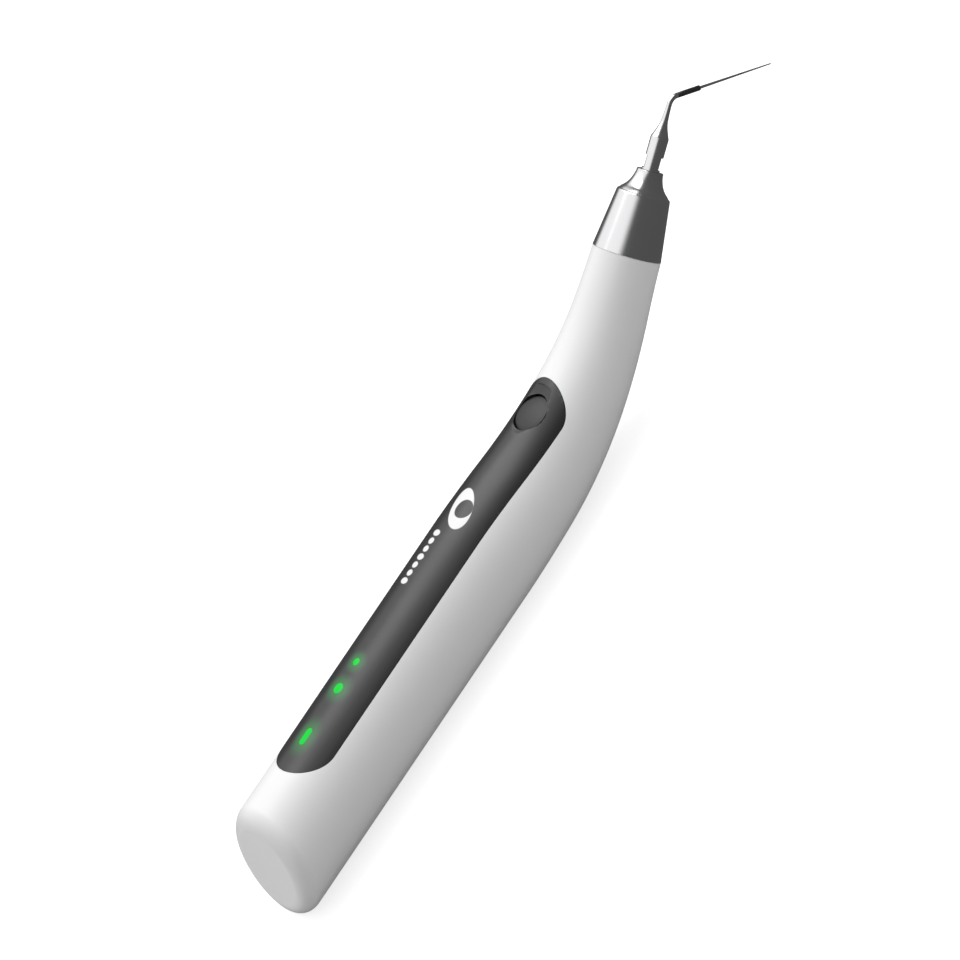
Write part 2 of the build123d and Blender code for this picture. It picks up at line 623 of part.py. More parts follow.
rear_ring_at = HORN_FLANGE_REAR - MOUNT_RING_GAP - MOUNT_RING_LENGTH
parts["horn_mount_ring_front"] = rod(
    ring_outer, mount_front, mount_front + MOUNT_RING_LENGTH, NOSE, bore=ring_inner
)
parts["horn_mount_ring_rear"] = rod(
    ring_outer, rear_ring_at, rear_ring_at + MOUNT_RING_LENGTH, NOSE, bore=ring_inner
)
lock_front = rear_ring_at - MOUNT_RING_GAP
parts["lock_ring"] = rod(
    ring_outer, lock_front - LOCK_RING_LENGTH, lock_front, NOSE, bore=HORN_RADIUS + MOUNT_RING_GAP
)

shims = []
rings = []
at = HORN_REAR
tab_places = []
for index in range(RING_COUNT + 1):
    side = 1 if index % 2 else -1
    tab_end = side * (RING_RADIUS + ELECTRODE_TAB_REACH)
    shim = Pos(0, 0, at - ELECTRODE_THICKNESS) * extrude(Circle(RING_RADIUS), ELECTRODE_THICKNESS)
    shim += block(
        -ELECTRODE_TAB_WIDTH / 2, ELECTRODE_TAB_WIDTH / 2, min(0, tab_end), max(0, tab_end),
        at - ELECTRODE_THICKNESS, at,
    )
    shim -= Pos(0, 0, at - ELECTRODE_THICKNESS) * extrude(Circle(RING_BORE_RADIUS), ELECTRODE_THICKNESS)
    shims.append(NOSE.location * shim)
    tab_places.append((side, at - ELECTRODE_THICKNESS))
    at -= ELECTRODE_THICKNESS
    if index < RING_COUNT:
        rings.append(rod(RING_RADIUS, at - RING_THICKNESS, at, NOSE, bore=RING_BORE_RADIUS))
        at -= RING_THICKNESS
stack_rear = at
parts["electrode_rings"] = Compound(shims)
parts["piezo_rings"] = Compound(rings)
bolt_clear = BOLT_RADIUS + MOUNT_RING_GAP
parts["insulating_sleeve"] = rod(bolt_clear + SLEEVE_WALL, stack_rear, HORN_REAR, NOSE, bore=bolt_clear)
mass_rear = stack_rear - BACK_MASS_LENGTH
parts["back_mass"] = rod(RING_RADIUS, mass_rear, stack_rear, NOSE, bore=bolt_clear)
head_rear = mass_rear - BOLT_HEAD_LENGTH
bolt_front = HORN_REAR + SOCKET_DEPTH - END_GAP
bolt = rod(BOLT_HEAD_RADIUS, head_rear, mass_rear, NOSE) + rod(
    BOLT_RADIUS - MOUNT_RING_GAP, mass_rear, bolt_front, NOSE
)
key = extrude(RegularPolygon(BOLT_SOCKET_FLATS / 2, 6, major_radius=False), BOLT_SOCKET_DEPTH)
parts["preload_bolt"] = bolt - NOSE.offset(head_rear).location * key

# ------------------------------------------------------------------ tip, ferrule, file and seal
tip_rear = HORN_SEAT + TIP_SEAT_GAP
shank_end = tip_rear + TIP_SHANK_LENGTH
neck_at = shank_end + TIP_TAPER_LENGTH
bend_at = neck_at + TIP_NECK_LENGTH
bore_end = stud_end + END_GAP
bore = STUD_RADIUS + TIP_THREAD_FIT
shank = lathe(
    [
        (bore, tip_rear),
        (TIP_SHANK_RADIUS, tip_rear),
        (TIP_SHANK_RADIUS, shank_end),
        (TIP_TAPER_END_RADIUS, neck_at),
        (TIP_NECK_RADIUS, bend_at),
        (0, bend_at),
        (0, bore_end),
        (bore, bore_end),
    ],
    NOSE,
)
for side in (-1, 1):
    outer = side * (WRENCH_FLATS / 2 + TIP_SHANK_RADIUS)
    inner = side * WRENCH_FLATS / 2
    flat_cut = block(
        -TIP_SHANK_RADIUS, TIP_SHANK_RADIUS, min(inner, outer), max(inner, outer),
        tip_rear + FLATS_START, tip_rear + FLATS_END,
    )
    shank -= NOSE.location * Rot(0, 0, FLATS_TURN) * flat_cut
bend_start = NOSE.offset(bend_at)
bend_centre = bend_start.origin - bend_start.x_dir * TIP_BEND_RADIUS
elbow = revolve(
    bend_start * Circle(TIP_NECK_RADIUS), Axis(bend_centre, (0, 1, 0)), revolution_arc=TIP_BEND_ANGLE
)
file_angle = math.radians(BEND_ANGLE - TIP_BEND_ANGLE)
file_up = Vector(-math.sin(file_angle), 0, math.cos(file_angle))
file_ahead = Vector(math.cos(file_angle), 0, math.sin(file_angle))
FILE = Plane(origin=bend_centre + file_up * TIP_BEND_RADIUS, x_dir=file_up, z_dir=file_ahead)
parts["tip_body"] = shank + elbow + rod(FERRULE_BORE_RADIUS - SNUG_GAP, 0, TIP_SPIGOT_LENGTH, FILE)
parts["file_ferrule"] = rod(FERRULE_RADIUS, 0, FERRULE_LENGTH, FILE, bore=FERRULE_BORE_RADIUS)
file_root = FERRULE_LENGTH - FILE_SEAT
file_end = FERRULE_LENGTH + FILE_LENGTH
parts["file_wire"] = lathe(
    [
        (0, file_root),
        (FILE_ROOT_RADIUS, file_root),
        (FILE_ROOT_RADIUS, FERRULE_LENGTH),
        (FILE_END_RADIUS, file_end),
        (0, file_end),
    ],
    FILE,
)
seal_centre = TIP_SHANK_RADIUS + TIP_SEAL_FIT + SEAL_RING_RADIUS
seal_at = rim_at - SEAL_RING_SETBACK
parts["tip_seal"] = NOSE.offset(seal_at).location * Torus(seal_centre, SEAL_RING_RADIUS)

# ------------------------------------------------------------------ leads
port_z = CELL_AXIS_Z
front_lead_x = tray_front_x + TRAY_BULKHEAD + LEAD_CLEARANCE
rear_lead_x = tray_rear_x - LEAD_CLEARANCE
parts["battery_lead_positive"] = lead(
    [(tray_inside[1], 0, port_z), (front_lead_x, 0, port_z), (front_lead_x, 0, BOARD_UNDERSIDE)]
)
parts["battery_lead_negative"] = lead(
    [(tray_inside[0], 0, port_z), (rear_lead_x, 0, port_z), (rear_lead_x, 0, BOARD_UNDERSIDE)]
)
charge_board_top = CHARGE_BLOCK_TOP + CHARGE_BOARD_THICKNESS
charge_lead_x = sum(CHARGE_PIN_X) / len(CHARGE_PIN_X)
parts["charge_leads"] = Compound([
    lead([
        (charge_lead_x, side * CHARGE_LEAD_SPREAD, charge_board_top),
        (charge_lead_x, side * CHARGE_LEAD_SPREAD, CELL_AXIS_Z),
        (rear_lead_x, side * CHARGE_LEAD_SPREAD, CELL_AXIS_Z + LEAD_RISE),
        (rear_lead_x, side * CHARGE_LEAD_SPREAD, BOARD_UNDERSIDE),
    ])
    for side in (-1, 1)
])
for name, (side, height) in (("drive_lead_live", tab_places[-2]), ("drive_lead_ground", tab_places[-1])):
    beside = RING_RADIUS + ELECTRODE_TAB_REACH / 2
    start = Vector(board_front_x - DRIVE_LEAD_SETBACK, -side * DRIVE_LEAD_SPREAD, BOARD_UNDERSIDE)
    turn = NOSE.from_local_coords((0, side * beside, mass_rear + DRIVE_LEAD_TURN))
    end = NOSE.from_local_coords((0, side * beside, height))
    below = Vector(start.X, start.Y, (start.Z + turn.Z) / 2)
    parts[name] = lead([start, below, turn, end])

os.makedirs("parts", exist_ok=True)
for name, solid in parts.items():
    solid.label = name
    export_step(solid, f"parts/{name}.step")
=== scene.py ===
"""Looks of a cordless ultrasonic dental handpiece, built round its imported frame. Lengths in the tables are in
millimetres along the frame's own axes: +X to the nose, +Z out of the control panel."""

import math

import bpy
from mathutils import Matrix, Vector


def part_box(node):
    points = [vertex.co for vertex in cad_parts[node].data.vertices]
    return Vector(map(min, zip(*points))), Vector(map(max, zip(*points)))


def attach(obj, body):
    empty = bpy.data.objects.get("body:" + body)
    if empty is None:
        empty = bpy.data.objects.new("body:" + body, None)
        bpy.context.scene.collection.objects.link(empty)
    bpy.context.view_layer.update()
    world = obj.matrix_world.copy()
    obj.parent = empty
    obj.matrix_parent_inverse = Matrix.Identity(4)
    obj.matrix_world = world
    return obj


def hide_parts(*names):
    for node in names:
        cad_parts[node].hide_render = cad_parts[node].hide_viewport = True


MM = 0.001

# Casing, as the frame has it
BARREL_RADIUS = 12.1
REAR_REACH = 22.7
REAR_CUT = math.radians(23.9)
REAR_ROUNDING = 5.3
REAR_WALL = 2.2
WALL = 1.6
TAPER_STEPS = 44
REAR_OVERRUN_X = -30.0
FLAT_Z = -11.2
INNER_FLAT_Z = -10.1
TAPER_START = 62.0
BEND_START = 77.0
BEND_RADIUS = 104.0
BEND_ANGLE = math.radians(23.5)
BEND_ARC = BEND_RADIUS * BEND_ANGLE
JOINT_STATION = BEND_START + BEND_ARC + 12.0
NOSE_JOINT_RADIUS = 7.35
CHARGE_PIN_X = (-10.0, -3.0)
CHARGE_PIN_HOLE_RADIUS = 1.55

# Control panel
PANEL_REAR_X = 8.6
BUTTON_X = 91.0
PANEL_HALF_WIDTH = 7.9
PANEL_GAP = 0.08
PANEL_LEDGE = 0.65
PANEL_THICKNESS = 0.9
GASKET = 0.2
PANEL_TOP = 16.0
BUTTON_RADIUS = 4.2
BUTTON_GAP = 0.2
BUTTON_TOP = 11.12
BUTTON_DOME = 16.0
BUTTON_EDGE = 0.2
FLANGE_RADIUS = 4.9
FLANGE_LOW = 9.17
FLANGE_HIGH = 9.77
SKIN_AT_BUTTON = 11.47
DISH_RADIUS = 20.0
DISH_DEPTH = 0.9
DISH_REACH = 6.4
DISH_STEPS = 15
WINDOW_LOW = 7.8
WINDOW_GAP = 0.02
WINDOWS = {  # x, half the straight run, radius of the round ends
    "led_window_bar": (9.2, 1.2, 0.8),
    "led_window_large": (21.2, 0.0, 1.2),
    "led_window_small": (27.8, 0.0, 0.85),
}

# Nose cone, as radius and height over the casing's nose
CONE_MOUTH_RADIUS = 5.5
CONE_EDGE = 0.13
SHOULDER = (5.75, 12.35)
FLARE_START = (5.65, 13.1)
FLARE_PULL = (3.47, 14.05)
RIM_RADIUS = 2.85
RIM_HEIGHT = 17.9
CONE_BORE_RADIUS = 2.4

# Tip, as heights over the casing's nose
SHANK_RADIUS = 1.93
SHANK_LOW = 17.35
SHANK_HIGH = 25.15
TAPER_LENGTH = 3.4
TAPER_END_RADIUS = 0.75
NECK_LENGTH = 3.6
NECK_RADIUS = 0.56
ELBOW_RADIUS = 2.4
ELBOW_TURN = math.radians(64.2)
FLATS_TURN = math.radians(52.8)
FLATS_HEIGHT = 19.65
FLATS_LENGTH = 2.7
FLATS_ACROSS = 3.0
FERRULE_RADIUS = 0.58
FERRULE_LENGTH = 5.8
FILE_RADIUS = 0.31
FILE_END_RADIUS = 0.135
FILE_LENGTH = 18.4

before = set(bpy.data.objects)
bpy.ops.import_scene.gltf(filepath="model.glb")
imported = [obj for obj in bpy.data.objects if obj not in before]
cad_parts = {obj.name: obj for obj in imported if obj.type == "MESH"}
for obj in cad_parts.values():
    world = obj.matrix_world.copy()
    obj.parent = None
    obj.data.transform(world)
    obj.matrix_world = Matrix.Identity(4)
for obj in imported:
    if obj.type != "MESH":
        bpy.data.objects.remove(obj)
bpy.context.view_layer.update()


# ------------------------------------------------------------------ modelling helpers
def only(obj):
    """Makes obj the one selected and active object."""
    bpy.ops.object.select_all(action="DESELECT")
    obj.select_set(True)
    bpy.context.view_layer.objects.active = obj
    return obj


def rings(name, places, sides, tube=False):
    """A body of round sections, each (x, z, lean, radius). A tube's last section is joined to its first."""
    bpy.ops.object.select_all(action="DESELECT")
    x, z, lean, radius = places[0]
    bpy.ops.mesh.primitive_circle_add(
        vertices=sides, radius=radius * MM, fill_type="NGON",
        location=(x * MM, 0, z * MM), rotation=(0, math.pi / 2 - lean, 0))
    obj = bpy.context.object
    obj.name = name
    bpy.ops.object.transform_apply(location=True, rotation=True, scale=True)
    bpy.ops.object.mode_set(mode="EDIT")
    bpy.ops.mesh.select_all(action="SELECT")
    for before, after in zip(places, places[1:]):
        centre = (after[0] * MM, 0, after[1] * MM)
        step = ((after[0] - before[0]) * MM, 0, (after[1] - before[1]) * MM)
        bpy.ops.mesh.extrude_region_move(TRANSFORM_OT_translate={"value": step})
        if after[2] != before[2]:
            bpy.ops.transform.rotate(value=after[2] - before[2], orient_axis="Y", center_override=centre)
        if after[3] != before[3]:
            growth = after[3] / before[3]
            bpy.ops.transform.resize(value=(growth, growth, growth), center_override=centre)
    if tube:
        bpy.ops.mesh.delete(type="ONLY_FACE")
        bpy.ops.object.mode_set(mode="OBJECT")
        for face in obj.data.polygons:
            face.select = len(face.vertices) == sides
        bpy.ops.object.mode_set(mode="EDIT")
        bpy.ops.mesh.delete(type="ONLY_FACE")
        bpy.ops.mesh.select_mode(type="EDGE")
        bpy.ops.mesh.select_non_manifold()
        bpy.ops.mesh.bridge_edge_loops()
    bpy.ops.mesh.select_all(action="SELECT")
    bpy.ops.mesh.normals_make_consistent(inside=False)
    bpy.ops.object.mode_set(mode="OBJECT")
    return obj


def turned(name, profile, place, sides, tube=False):
    """A turned body from (radius, height) points along the axis that leaves place = (x, z, lean)."""
    x, z, lean = place
    along = (math.cos(lean), math.sin(lean))
    return rings(name, [(x + h * along[0], z + h * along[1], lean, r) for r, h in profile], sides, tube)


def upright(name, profile, x, sides, z=0.0):
    """A turned body from (radius, height) points on a vertical axis at x."""
    return turned(name, profile, (x, z, math.pi / 2), sides)


def capsule(name, half_width, low, high, rear=PANEL_REAR_X, front=BUTTON_X, sides=144):
    """An upright block with a capsule outline between two end centres."""
    bpy.ops.object.select_all(action="DESELECT")
    bpy.ops.mesh.primitive_circle_add(
        vertices=sides, radius=half_width * MM, fill_type="NGON",
        location=(rear * MM, 0, low * MM), rotation=(0, 0, math.pi / sides))
    obj = bpy.context.object
    obj.name = name
    bpy.ops.object.transform_apply(location=True, rotation=True, scale=True)
    bpy.ops.object.mode_set(mode="EDIT")
    bpy.ops.mesh.select_mode(type="VERT")
    bpy.ops.mesh.select_all(action="DESELECT")
    bpy.ops.object.mode_set(mode="OBJECT")
    for vertex in obj.data.vertices:
        vertex.select = vertex.co.x > rear * MM
    bpy.ops.object.mode_set(mode="EDIT")
    bpy.ops.transform.translate(value=((front - rear) * MM, 0, 0))
    bpy.ops.mesh.select_all(action="SELECT")
    bpy.ops.mesh.extrude_region_move(TRANSFORM_OT_translate={"value": (0, 0, (high - low) * MM)})
    bpy.ops.mesh.select_all(action="SELECT")
    bpy.ops.mesh.normals_make_consistent(inside=False)
    bpy.ops.object.mode_set(mode="OBJECT")
    return obj


def combine(obj, other, how="DIFFERENCE"):
    """Applies a boolean of other to obj and takes other away."""
    only(obj)
    bpy.ops.object.modifier_add(type="BOOLEAN")
    step = obj.modifiers[-1]
    step.operation = how
    step.solver = "EXACT"
    step.object = other
    bpy.ops.object.modifier_apply(modifier=step.name)
    bpy.data.objects.remove(other)
    return obj


def slice_off(obj, point, outward, rounding=0.0):
    """Cuts obj at a plane, keeps what lies behind it and rounds the cut's edge."""
    only(obj)
    bpy.ops.object.mode_set(mode="EDIT")
    bpy.ops.mesh.select_mode(type="EDGE")
    bpy.ops.mesh.select_all(action="SELECT")
    bpy.ops.mesh.bisect(plane_co=[c * MM for c in point], plane_no=outward, use_fill=True,
                        clear_outer=True, threshold=1e-7)
    if rounding:
        bpy.ops.mesh.bevel(offset=rounding * MM, offset_type="WIDTH", segments=14, affect="EDGES",
                           clamp_overlap=True)
    bpy.ops.object.mode_set(mode="OBJECT")


def soften(obj, width, segments=3, limit=35.0):
    """Rounds every edge sharper than limit degrees."""
    only(obj)
    bpy.ops.object.modifier_add(type="BEVEL")
    step = obj.modifiers[-1]
    step.width = width * MM
    step.segments = segments
    step.limit_method = "ANGLE"
    step.angle_limit = math.radians(limit)
    step.use_clamp_overlap = True
    bpy.ops.object.modifier_apply(modifier=step.name)


def smooth(obj, angle=35.0, weighted=True):
    """Smooth shading with edges sharper than angle kept crisp."""
    only(obj)
    bpy.ops.object.shade_smooth_by_angle(angle=math.radians(angle))
    if weighted:
        bpy.ops.object.modifier_add(type="WEIGHTED_NORMAL")
        step = obj.modifiers[-1]
        step.keep_sharp = True
        bpy.ops.object.modifier_apply(modifier=step.name)


def rear_point(inset):
    """A point of the oblique rear plane, moved inward by inset, and the plane's outward direction."""
    outward = Vector((-math.cos(REAR_CUT), 0, math.sin(REAR_CUT)))
    return Vector((-REAR_REACH, 0, -BARREL_RADIUS)) - outward * inset, outward


def centre(station):
    """(x, z, lean) of the casing's centreline at a distance along it."""
    turn = min(max(station - BEND_START, 0), BEND_ARC) / BEND_RADIUS
    past = max(station - BEND_START - BEND_ARC, 0)
    straight = min(station, BEND_START)
    x = straight + BEND_RADIUS * math.sin(turn) + past * math.cos(turn)
    z = BEND_RADIUS * (1 - math.cos(turn)) + past * math.sin(turn)
    return x, z, turn


def casing_radius(station):
    """The casing's outer radius: straight barrel, then a taper that starts and ends gently."""
    share = (station - TAPER_START) / (JOINT_STATION - TAPER_START)
    warped = min(max(share, 0), 1) ** 1.15
    blend = 3 * warped**2 - 2 * warped**3
    return BARREL_RADIUS - (BARREL_RADIUS - NOSE_JOINT_RADIUS) * (0.35 * warped + 0.65 * blend)


def casing_body(name, inset, sides=192, overrun=0.0):
    """The casing's outer form drawn in by inset, still running past its rear end."""
    stations = [REAR_OVERRUN_X, TAPER_START - 4]
    length = JOINT_STATION - TAPER_START
    stations += [TAPER_START + length * i / TAPER_STEPS for i in range(TAPER_STEPS + 1)]
    if overrun:
        stations.append(JOINT_STATION + overrun)
    return rings(name, [(*centre(s), casing_radius(s) - inset) for s in stations], sides)


# ------------------------------------------------------------------ casing
NOSE = centre(JOINT_STATION)

casing = casing_body("white_casing", 0.0)
slice_off(casing, *rear_point(0.0), REAR_ROUNDING)
slice_off(casing, (0, 0, FLAT_Z), (0, 0, -1))

inside = casing_body("inside", WALL, sides=96, overrun=2.0)
slice_off(inside, (0, 0, INNER_FLAT_Z), (0, 0, -1))
slice_off(inside, *rear_point(REAR_WALL))
combine(casing, inside)

pocket = capsule("pocket", PANEL_HALF_WIDTH, 0, PANEL_TOP)
combine(pocket, casing_body("floor of pocket", PANEL_THICKNESS + GASKET))
combine(casing, pocket)
combine(casing, capsule("opening", PANEL_HALF_WIDTH - PANEL_LEDGE, 0, PANEL_TOP))
pin_hole = [(CHARGE_PIN_HOLE_RADIUS, height) for height in (-14, -9)]
for x in CHARGE_PIN_X:
    combine(casing, upright("pin hole", pin_hole, x, 48))
smooth(casing)

# ------------------------------------------------------------------ control panel
panel = capsule("control_panel", PANEL_HALF_WIDTH - PANEL_GAP, 0, PANEL_TOP)
combine(panel, casing_body("panel skin", 0.0), "INTERSECT")
combine(panel, casing_body("panel underside", PANEL_THICKNESS, sides=96))
dish_profile = [(DISH_REACH, 0)]
for i in range(DISH_STEPS + 1):
    reach = DISH_REACH - (DISH_REACH - 0.1) * i / DISH_STEPS
    dish_profile.append((reach, -math.sqrt(DISH_RADIUS**2 - reach**2)))
dish_centre = SKIN_AT_BUTTON - DISH_DEPTH + DISH_RADIUS
combine(panel, upright("dish", dish_profile, BUTTON_X, 96, dish_centre))
hole = BUTTON_RADIUS + BUTTON_GAP
combine(panel, upright("button hole", [(hole, 0), (hole, PANEL_TOP)], BUTTON_X, 96))


def window_block(name, x, reach, radius):
    """A capsule block, or a round one where the window has no straight run."""
    if reach:
        return capsule(name, radius, WINDOW_LOW, PANEL_TOP, x - reach, x + reach, 48)
    return upright(name, [(radius, WINDOW_LOW), (radius, PANEL_TOP)], x, 48)


glow_pieces = []
for node, (x, reach, radius) in WINDOWS.items():
    combine(panel, window_block("hole", x, reach, radius + WINDOW_GAP))
    window = window_block(node.replace("led_window", "light_window"), x, reach, radius)
    combine(window, casing_body("window skin", 0.0), "INTERSECT")
    soften(window, 0.05, 2)
    smooth(window)
    glow_pieces.append((window, node))
soften(panel, 0.1, 3, 40)
smooth(panel)

# ------------------------------------------------------------------ button
def dome(reach):
    """The height of the button's domed top at a distance from its axis."""
    return BUTTON_TOP - BUTTON_DOME + math.sqrt(BUTTON_DOME**2 - reach**2)


edge_low = dome(BUTTON_RADIUS) - BUTTON_EDGE
button_profile = [(0.3, FLANGE_LOW), (FLANGE_RADIUS, FLANGE_LOW), (FLANGE_RADIUS, FLANGE_HIGH),
                  (BUTTON_RADIUS, FLANGE_HIGH), (BUTTON_RADIUS, edge_low)]
top_reach = BUTTON_RADIUS - BUTTON_EDGE
for i in range(1, 5):
    angle = math.pi / 2 * i / 4
    button_profile.append(
        (top_reach + BUTTON_EDGE * math.cos(angle), edge_low + BUTTON_EDGE * math.sin(angle)))
for i in range(1, 12):
    reach = top_reach * (1 - i / 12)
    button_profile.append((reach, dome(reach)))
button = upright("push_button", button_profile, BUTTON_X, 96)
smooth(button, 40)

# ------------------------------------------------------------------ nose cone
cone_profile = [(CONE_MOUTH_RADIUS, 0.0), (NOSE_JOINT_RADIUS - CONE_EDGE, 0.0),
                (NOSE_JOINT_RADIUS, CONE_EDGE), SHOULDER]
for i in range(1, 7):
    turn = math.radians(80 * i / 6)
    cone_profile.append((5.27 + 0.45 * math.cos(turn), 12.5 + 0.5 * math.sin(turn)))
flare_end = (RIM_RADIUS, RIM_HEIGHT - 0.5)
for i in range(3, 17):
    share = i / 16
    cone_profile.append(tuple(
        (1 - share) ** 2 * start + 2 * share * (1 - share) * pull + share**2 * end
        for start, pull, end in zip(FLARE_START, FLARE_PULL, flare_end)))
cone_profile += [
    (RIM_RADIUS, RIM_HEIGHT - 0.1), (RIM_RADIUS - 0.07, RIM_HEIGHT - 0.02), (RIM_RADIUS - 0.15, RIM_HEIGHT),
    (CONE_BORE_RADIUS + 0.1, RIM_HEIGHT), (CONE_BORE_RADIUS, RIM_HEIGHT - 0.1), (CONE_BORE_RADIUS, 15.4),
    (4.0, 12.0), (CONE_MOUTH_RADIUS, 6.0)]
cone = turned("nose_cone_steel", cone_profile, NOSE, 128, tube=True)
smooth(cone, 30)

# ------------------------------------------------------------------ tip
ALONG = (math.cos(NOSE[2]), math.sin(NOSE[2]))


def nose_place(height, radius):
    """A section on the nose axis."""
    return (NOSE[0] + height * ALONG[0], NOSE[1] + height * ALONG[1], NOSE[2], radius)


tip_places = [
    nose_place(SHANK_LOW, SHANK_RADIUS - 0.13), nose_place(SHANK_LOW + 0.13, SHANK_RADIUS),
    nose_place(SHANK_HIGH - 0.25, SHANK_RADIUS), nose_place(SHANK_HIGH, SHANK_RADIUS - 0.07)]
taper_drop = SHANK_RADIUS - 0.07 - TAPER_END_RADIUS
for i in range(1, 13):
    share = i / 12
    tip_places.append(nose_place(
        SHANK_HIGH + TAPER_LENGTH * share, TAPER_END_RADIUS + taper_drop * (1 - share) ** 1.35))
neck_drop = TAPER_END_RADIUS - NECK_RADIUS
for i in range(1, 7):
    share = i / 6
    tip_places.append(nose_place(
        SHANK_HIGH + TAPER_LENGTH + NECK_LENGTH * share,
        TAPER_END_RADIUS - neck_drop * (1 - (1 - share) ** 1.6)))
elbow_x, elbow_z = tip_places[-1][:2]
pivot_x = elbow_x + ELBOW_RADIUS * ALONG[1]
pivot_z = elbow_z - ELBOW_RADIUS * ALONG[0]
for i in range(1, 17):
    lean = NOSE[2] - ELBOW_TURN * i / 16
    x = pivot_x - ELBOW_RADIUS * math.sin(lean)
    z = pivot_z + ELBOW_RADIUS * math.cos(lean)
    tip_places.append((x, z, lean, NECK_RADIUS))
FILE_X, FILE_Z, FILE_LEAN, _ = tip_places[-1]


def file_place(run, radius):
    """A section on the file's axis, run from the end of the elbow."""
    return (FILE_X + run * math.cos(FILE_LEAN), FILE_Z + run * math.sin(FILE_LEAN), FILE_LEAN, radius)


def wrench_jaw(side):
    """A block that cuts one wrench flat, on the side -1 or 1 of the shank."""
    bpy.ops.object.select_all(action="DESELECT")
    bpy.ops.mesh.primitive_cube_add(size=1.0)
    jaw = bpy.context.object
    middle_x, middle_z, lean, _ = nose_place(FLATS_HEIGHT, 0)
    place = Matrix.Translation((middle_x * MM, 0, middle_z * MM))
    turn = Matrix.Rotation(FLATS_TURN, 4, Vector((ALONG[0], 0, ALONG[1])))
    upright_turn = Matrix.Rotation(-lean, 4, "Y")
    beside = Matrix.Translation((0, side * (FLATS_ACROSS + 1.0) / 2 * MM, 0))
    size = Matrix.Diagonal((FLATS_LENGTH * MM, 1.0 * MM, 5.0 * MM, 1))
    jaw.matrix_world = place @ turn @ upright_turn @ beside @ size
    bpy.ops.object.transform_apply(location=True, rotation=True, scale=True)
    return jaw


tip = rings("screw_on_tip", tip_places, 64)
for side in (-1, 1):
    combine(tip, wrench_jaw(side))
smooth(tip, 30)
ferrule = rings("file_holder", [
    file_place(0.0, FERRULE_RADIUS - 0.06), file_place(0.06, FERRULE_RADIUS),
    file_place(FERRULE_LENGTH - 0.1, FERRULE_RADIUS), file_place(FERRULE_LENGTH, FERRULE_RADIUS - 0.1)], 48)
smooth(ferrule, 50)
file_places = [file_place(FERRULE_LENGTH - 0.6, FILE_RADIUS)]
for i in range(25):
    share = i / 24
    file_places.append(file_place(
        FERRULE_LENGTH + FILE_LENGTH * share, FILE_RADIUS - (FILE_RADIUS - FILE_END_RADIUS) * share))
file_places.append(file_place(FERRULE_LENGTH + FILE_LENGTH + 0.08, 0.06))
wire = rings("endodontic_file", file_places, 24)
smooth(wire, 40)


# ------------------------------------------------------------------ node groups
def new_group(name, inputs, outputs):
    """A shader node group with its in and out nodes; sockets are (name, type, default)."""
    tree = bpy.data.node_groups.new(name, "ShaderNodeTree")
    for label, kind, value in inputs:
        socket = tree.interface.new_socket(name=label, in_out="INPUT", socket_type=kind)
        socket.default_value = value
    for label, kind in outputs:
        tree.interface.new_socket(name=label, in_out="OUTPUT", socket_type=kind)
    return tree, tree.nodes.new("NodeGroupInput"), tree.nodes.new("NodeGroupOutput")


def add(tree, kind, **settings):
    """A node with its settings."""
    node = tree.nodes.new(kind)
    for key, value in settings.items():
        setattr(node, key, value)
    return node


def calc(tree, operation, first, second=None, third=None):
    """A math node of sockets or plain numbers; returns its output."""
    node = add(tree, "ShaderNodeMath", operation=operation)
    for index, value in enumerate((first, second, third)):
        if value is None:
            continue
        if isinstance(value, (int, float)):
            node.inputs[index].default_value = value
        else:
            tree.links.new(value, node.inputs[index])
    return node.outputs[0]


def smooth_step(tree, value, low, high, at_low=0.0, at_high=1.0):
    """A value's gentle change from at_low to at_high while it goes from low to high."""
    step = add(tree, "ShaderNodeMapRange", interpolation_type="SMOOTHSTEP")
    for label, limit in (("From Min", low), ("From Max", high), ("To Min", at_low), ("To Max", at_high)):
        step.inputs[label].default_value = limit
    tree.links.new(value, step.inputs["Value"])
    return step.outputs["Result"]


def noise(tree, scale, detail=3.0):
    """A noise's value over the piece's own coordinates."""
    place = add(tree, "ShaderNodeTexCoord")
    field = add(tree, "ShaderNodeTexNoise")
    field.inputs["Detail"].default_value = detail
    if isinstance(scale, (int, float)):
        field.inputs["Scale"].default_value = scale
    else:
        tree.links.new(scale, field.inputs["Scale"])
    tree.links.new(place.outputs["Object"], field.inputs["Vector"])
    return field.outputs[0]


FLOAT, COLOUR, VECTOR = "NodeSocketFloat", "NodeSocketColor", "NodeSocketVector"

# Moulded or ground grain: a roughness that drifts a little, and a very shallow bump
surface_group, ins, outs = new_group(
    "surface grain",
    [("Roughness", FLOAT, 0.4), ("Drift", FLOAT, 0.05), ("Scale", FLOAT, 2000.0), ("Bump", FLOAT, 0.05)],
    [("Roughness", FLOAT), ("Normal", VECTOR)])
broad = noise(surface_group, 60.0, 4.0)
fine = noise(surface_group, ins.outputs["Scale"], 2.0)
swing = calc(surface_group, "MULTIPLY_ADD", calc(surface_group, "SUBTRACT", broad, 0.5), 2.0, 0.0)
drifted = calc(surface_group, "MULTIPLY_ADD", swing, ins.outputs["Drift"], ins.outputs["Roughness"])
surface_group.links.new(drifted, outs.inputs["Roughness"])
bump = add(surface_group, "ShaderNodeBump")
bump.inputs["Distance"].default_value = 0.00002
surface_group.links.new(ins.outputs["Bump"], bump.inputs["Strength"])
surface_group.links.new(fine, bump.inputs["Height"])
surface_group.links.new(bump.outputs["Normal"], outs.inputs["Normal"])

